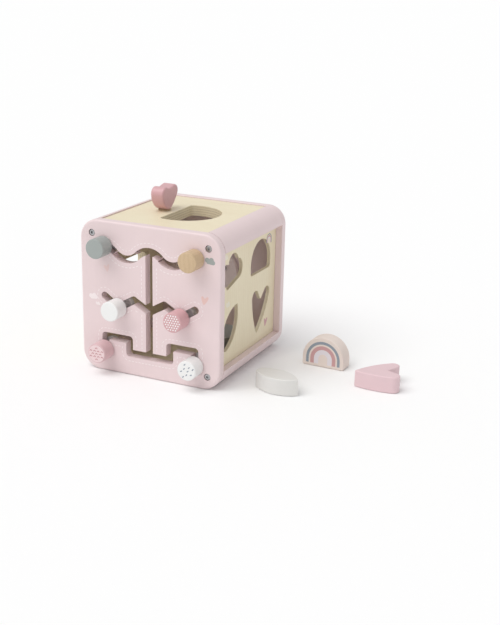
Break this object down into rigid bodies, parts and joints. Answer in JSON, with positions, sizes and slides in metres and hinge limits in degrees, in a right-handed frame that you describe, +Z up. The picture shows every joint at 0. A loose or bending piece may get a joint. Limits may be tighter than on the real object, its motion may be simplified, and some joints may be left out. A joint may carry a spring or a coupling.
{
  "type": "shape sorter",
  "caption": "Wooden shape sorter cube: knobs that run in slots on one face, shaped holes in another, a turning heart knob on top, a turning dial behind and loose shape blocks.",
  "frame": {"origin": "middle of the front plate's underside, on the surface that the cube stands on", "axes": "+Z up, +X to the right seen from the front, +Y from the front plate towards the back plate"},
  "size_m": [0.3196, 0.1851, 0.1854],
  "materials": {
    "pink_paint": "pale pink paint on plywood and beech, satin",
    "plywood": "clear-lacquered birch plywood",
    "beech": "clear-lacquered beech",
    "grey_paint": "grey paint on wood, satin",
    "white_paint": "white paint on wood, satin",
    "rose_paint": "dusty pink paint on wood, satin",
    "pale_grey_paint": "pale grey paint on wood, satin",
    "cream_paint": "pale cream paint on wood, satin",
    "steel": "zinc-plated steel"
  },
  "bodies": {
    "case": {"front_plate": "pink_paint", "back_plate": "pink_paint", "top_panel": "plywood", "bottom_panel": "plywood", "shape_panel": "plywood", "door_panel": "plywood", "rail_bottom_left": "pink_paint", "rail_top_left": "pink_paint", "rail_bottom_right": "pink_paint", "rail_top_right": "pink_paint", "screw_front_bottom_left": "steel", "screw_front_top_left": "steel", "screw_front_bottom_right": "steel", "screw_front_top_right": "steel", "screw_back_bottom_left": "steel", "screw_back_top_left": "steel", "screw_back_bottom_right": "steel", "screw_back_top_right": "steel"},
    "grey_knob": {"grey_knob": "grey_paint", "grey_spool": "grey_paint", "grey_knob_screw": "steel"},
    "beech_knob": {"beech_knob": "beech", "beech_spool": "grey_paint", "beech_knob_screw": "steel"},
    "white_knob": {"white_knob": "white_paint", "white_spool": "grey_paint", "white_knob_screw": "steel"},
    "dotted_knob": {"dotted_knob": "rose_paint", "dotted_spool": "grey_paint", "dotted_knob_screw": "steel"},
    "chevron_knob": {"chevron_knob": "rose_paint", "chevron_spool": "grey_paint", "chevron_knob_screw": "steel"},
    "dashed_knob": {"dashed_knob": "white_paint", "dashed_spool": "grey_paint", "dashed_knob_screw": "steel"},
    "heart_knob": {"heart_knob": "rose_paint", "heart_washer": "beech", "heart_peg": "beech", "heart_keeper": "beech", "heart_screw": "steel"},
    "back_dial": {"back_dial": "rose_paint", "back_disc": "pink_paint", "dial_screw_a": "steel", "dial_screw_b": "steel"},
    "leaf_block": {"leaf_block": "pale_grey_paint"},
    "rainbow_block": {"rainbow_block": "cream_paint"},
    "heart_block": {"heart_block": "rose_paint"},
    "cloud_block": {"cloud_block": "grey_paint"}
  },
  "joints": [
    {"name": "grey_knob_run", "type": "hinge", "parent": "case", "child": "grey_knob", "pos_m": [-0.052, 0, 0.1165], "axis": [0, 1, 0], "range_deg": [0, 45.9]},
    {"name": "beech_knob_run", "type": "hinge", "parent": "case", "child": "beech_knob", "pos_m": [0.052, 0, 0.1165], "axis": [0, -1, 0], "range_deg": [0, 45.9]},
    {"name": "white_knob_run", "type": "slide", "parent": "case", "child": "white_knob", "axis": [0.8726, 0, 0.4885], "range_m": [0, 0.0207]},
    {"name": "dotted_knob_run", "type": "slide", "parent": "case", "child": "dotted_knob", "axis": [-0.8726, 0, 0.4885], "range_m": [0, 0.0207]},
    {"name": "chevron_knob_run", "type": "slide", "parent": "case", "child": "chevron_knob", "axis": [0, 0, 1], "range_m": [0, 0.0143]},
    {"name": "dashed_knob_run", "type": "slide", "parent": "case", "child": "dashed_knob", "axis": [0, 0, 1], "range_m": [0, 0.0143]},
    {"name": "heart_knob_turn", "type": "hinge", "parent": "case", "child": "heart_knob", "pos_m": [-0.026, 0.07425, 0.16], "axis": [0, 0, 1], "continuous": true},
    {"name": "back_dial_turn", "type": "hinge", "parent": "case", "child": "back_dial", "pos_m": [0, 0.15405, 0.08], "axis": [0, 1, 0], "continuous": true},
    {"name": "leaf_block_lift", "type": "slide", "parent": "case", "child": "leaf_block", "axis": [0, 0, 1], "range_m": [0, 0.1]},
    {"name": "rainbow_block_lift", "type": "slide", "parent": "case", "child": "rainbow_block", "axis": [0, 0, 1], "range_m": [0, 0.1]},
    {"name": "heart_block_lift", "type": "slide", "parent": "case", "child": "heart_block", "axis": [0, 0, 1], "range_m": [0, 0.1]},
    {"name": "cloud_block_lift", "type": "slide", "parent": "case", "child": "cloud_block", "axis": [0, 0, 1], "range_m": [0, 0.06]}
  ]
}
